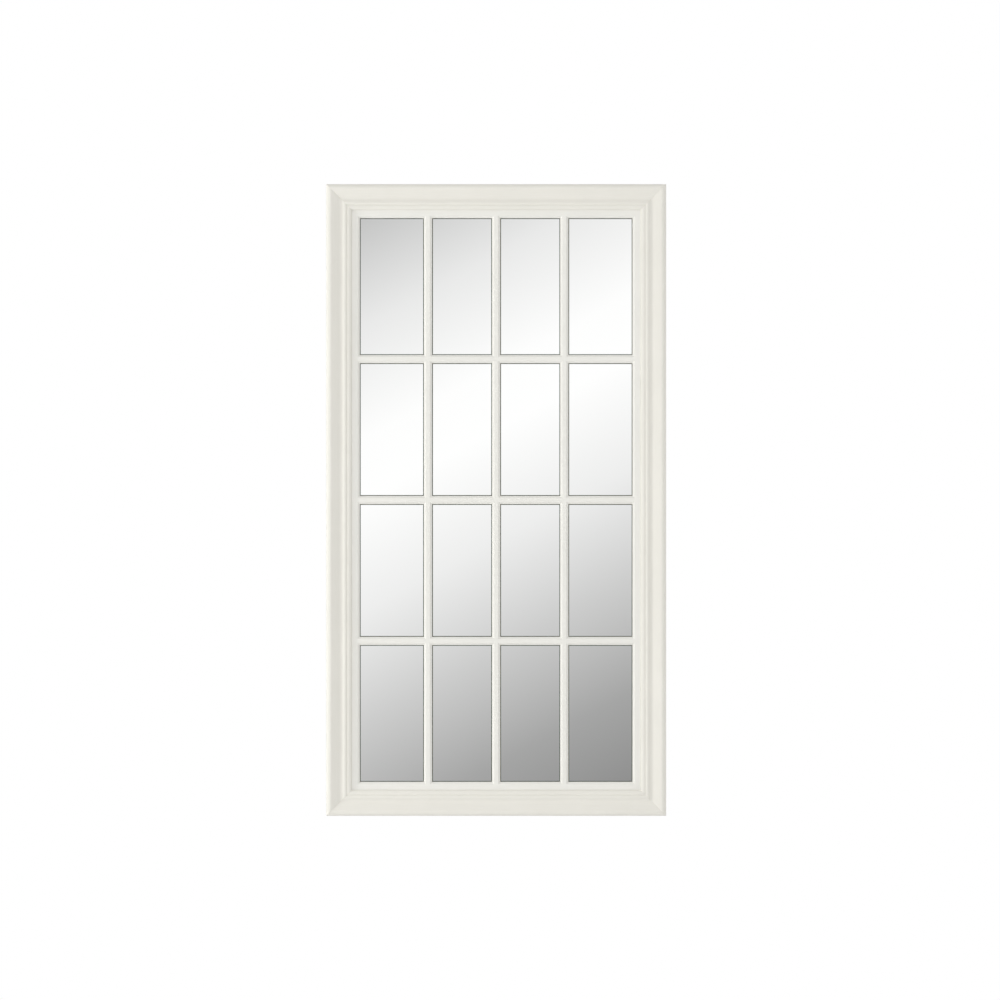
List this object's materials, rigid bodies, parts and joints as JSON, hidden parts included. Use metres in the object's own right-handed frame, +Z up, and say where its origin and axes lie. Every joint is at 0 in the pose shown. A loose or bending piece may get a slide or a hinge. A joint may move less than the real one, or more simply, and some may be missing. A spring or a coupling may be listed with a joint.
{
  "type": "window mirror",
  "caption": "Tall wall mirror built like a sash window: mitred moulded frame, bevelled glazing bars and separate mirror panes, hung by two D-rings.",
  "frame": {"origin": "on the wall plane, which the bumpers touch, behind the middle of the frame", "axes": "+Z up along the stiles, +Y into the wall, +X to the right of someone facing the mirror"},
  "size_m": [0.7, 0.034, 1.3],
  "materials": {
    "painted_wood": "satin warm off-white paint over primed wood",
    "mirror_glass": "silvered float glass with a ground arris",
    "fibreboard": "raw medium-density fibreboard",
    "foam_tape": "white closed-cell foam tape",
    "nail_steel": "bright strip steel",
    "screw_zinc": "zinc-plated steel",
    "hanger_steel": "nickel-plated strip steel",
    "ring_steel": "nickel-plated wire",
    "bumper_rubber": "soft black rubber"
  },
  "bodies": {
    "mirror": {"top_rail": "painted_wood", "bottom_rail": "painted_wood", "left_stile": "painted_wood", "right_stile": "painted_wood", "top_border": "painted_wood", "bottom_border": "painted_wood", "left_border": "painted_wood", "right_border": "painted_wood", "upright_bar_1": "painted_wood", "upright_bar_2": "painted_wood", "upright_bar_3": "painted_wood", "cross_bar_1": "painted_wood", "cross_bar_2": "painted_wood", "cross_bar_3": "painted_wood", "pane_row1_column1": "mirror_glass", "pane_row1_column2": "mirror_glass", "pane_row1_column3": "mirror_glass", "pane_row1_column4": "mirror_glass", "pane_row2_column1": "mirror_glass", "pane_row2_column2": "mirror_glass", "pane_row2_column3": "mirror_glass", "pane_row2_column4": "mirror_glass", "pane_row3_column1": "mirror_glass", "pane_row3_column2": "mirror_glass", "pane_row3_column3": "mirror_glass", "pane_row3_column4": "mirror_glass", "pane_row4_column1": "mirror_glass", "pane_row4_column2": "mirror_glass", "pane_row4_column3": "mirror_glass", "pane_row4_column4": "mirror_glass", "back_board": "fibreboard", "mirror_tape": "foam_tape", "corner_nails": "nail_steel", "board_screws": "screw_zinc", "hanger_screws": "screw_zinc", "left_hanger": "hanger_steel", "right_hanger": "hanger_steel", "wall_bumpers": "bumper_rubber"},
    "left_ring": {"left_ring": "ring_steel"},
    "right_ring": {"right_ring": "ring_steel"}
  },
  "joints": [
    {"name": "left_ring_swing", "type": "hinge", "parent": "mirror", "child": "left_ring", "pos_m": [-0.331, -0.00345, 0.4], "axis": [1, 0, 0], "range_deg": [0, 175]},
    {"name": "right_ring_swing", "type": "hinge", "parent": "mirror", "child": "right_ring", "pos_m": [0.331, -0.00345, 0.4], "axis": [1, 0, 0], "range_deg": [0, 175]}
  ]
}
